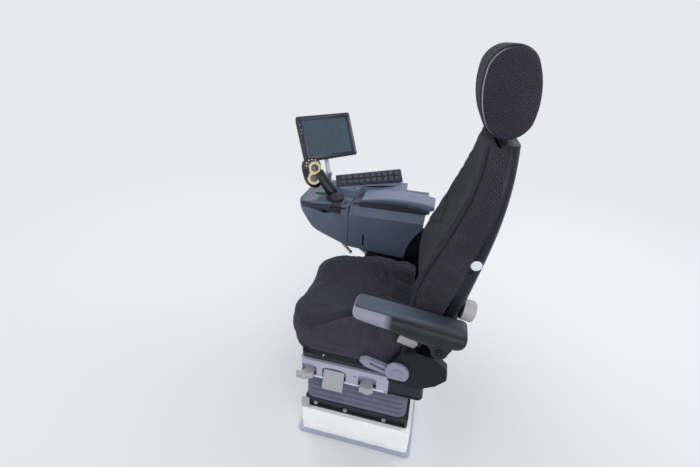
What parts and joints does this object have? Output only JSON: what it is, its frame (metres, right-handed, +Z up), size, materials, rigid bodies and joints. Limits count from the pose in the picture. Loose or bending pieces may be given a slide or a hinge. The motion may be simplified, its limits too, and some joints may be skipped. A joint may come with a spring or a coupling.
{
  "type": "operator's seat with control console for a forage harvester",
  "caption": "Air-suspended vehicle operator's seat on a pedestal, with reclining back, headrest, folding left armrest and a right-hand console with joystick, keypad and touch terminal.",
  "frame": {"origin": "on the floor, at the centre of the four floor bolt holes in the base plate", "axes": "+Z up, -Y the way the seat faces, +X to the driver's left"},
  "size_m": [1.0523, 0.9085, 1.434],
  "materials": {
    "floor_plate": "satin blue-grey paint",
    "white_paint": "satin white paint",
    "black_steel": "semi-matt black paint",
    "rail_steel": "zinc-plated steel",
    "bellows_rubber": "matt blue-grey rubberised fabric",
    "silver_plastic": "satin silver-grey moulding",
    "light_plastic": "light grey moulding",
    "black_plastic": "fine-grained black moulding",
    "dark_plastic": "dark grey moulding",
    "seat_fabric": "charcoal velour with a woven herringbone side",
    "armrest_skin": "dark soft-skin polyurethane",
    "console_plastic": "slate grey moulding",
    "lid_skin": "grey soft-skin lid",
    "key_plastic": "dark keys",
    "pad_plastic": "beige button pad",
    "boot_rubber": "black rubber",
    "green_plastic": "green push button",
    "terminal_plastic": "navy-black frame",
    "screen_glass": "switched-off display"
  },
  "bodies": {
    "base": {"base_plate": "floor_plate", "pedestal": "white_paint", "lower_frame": "black_steel", "frame_end_blocks": "light_plastic", "bellows": "bellows_rubber", "suspension_housing": "silver_plastic", "housing_rear": "dark_plastic", "handle_front": "light_plastic", "handle_flap": "light_plastic", "handle_rear": "light_plastic", "lower_rails": "rail_steel"},
    "seat": {"upper_rails": "rail_steel", "seat_pan": "black_steel", "seat_cushion": "seat_fabric", "cushion_handles": "light_plastic", "side_cover_left": "black_plastic", "side_cover_right": "black_plastic", "hinge_cover": "light_plastic", "recline_lever": "light_plastic", "console_bracket": "black_steel"},
    "backrest": {"back_frame": "black_steel", "back_cover_left": "black_plastic", "back_cover_right": "black_plastic", "side_tab": "light_plastic", "back_shell": "black_plastic", "back_cushion": "seat_fabric", "lumbar_knob": "light_plastic"},
    "headrest": {"headrest_pad": "seat_fabric", "headrest_posts": "rail_steel"},
    "left_armrest": {"armrest_arm": "armrest_skin", "armrest_pad": "armrest_skin"},
    "console": {"console_body": "console_plastic", "console_nose": "console_plastic", "console_band": "dark_plastic", "console_lid": "lid_skin", "switch_panel": "console_plastic", "keypad": "dark_plastic", "keypad_keys": "key_plastic", "joystick_pod": "black_plastic", "joystick_boot": "boot_rubber", "joystick_stick": "black_plastic", "joystick_grip": "black_plastic", "grip_pad": "pad_plastic", "grip_buttons": "dark_plastic", "grip_switches": "light_plastic", "green_button": "green_plastic", "console_levers": "light_plastic", "console_guide": "rail_steel", "terminal_post": "rail_steel"},
    "terminal_neck": {"terminal_neck": "black_steel"},
    "terminal": {"terminal_case": "terminal_plastic", "terminal_screen": "screen_glass"}
  },
  "joints": [
    {"name": "seat_slide", "type": "slide", "parent": "base", "child": "seat", "axis": [0, 1, 0], "range_m": [-0.09, 0.09]},
    {"name": "backrest_recline", "type": "hinge", "parent": "seat", "child": "backrest", "pos_m": [0, 0.205, 0.478], "axis": [-1, 0, 0], "range_deg": [-8, 25]},
    {"name": "headrest_height", "type": "slide", "parent": "backrest", "child": "headrest", "axis": [0, 0, 1], "range_m": [0, 0.06]},
    {"name": "left_armrest_lift", "type": "hinge", "parent": "backrest", "child": "left_armrest", "pos_m": [0.28, 0.248, 0.626], "axis": [-1, 0, 0], "range_deg": [0, 95]},
    {"name": "console_height", "type": "slide", "parent": "seat", "child": "console", "axis": [0, 0, 1], "range_m": [-0.02, 0.04]},
    {"name": "terminal_swivel", "type": "hinge", "parent": "console", "child": "terminal_neck", "pos_m": [-0.55, -0.35, 0.808], "axis": [0, 0, 1], "range_deg": [-30, 30]},
    {"name": "terminal_tilt", "type": "hinge", "parent": "terminal_neck", "child": "terminal", "pos_m": [-0.59984, -0.39475, 0.96502], "axis": [0.7373, -0.6756, 0], "range_deg": [-3, 20]}
  ]
}
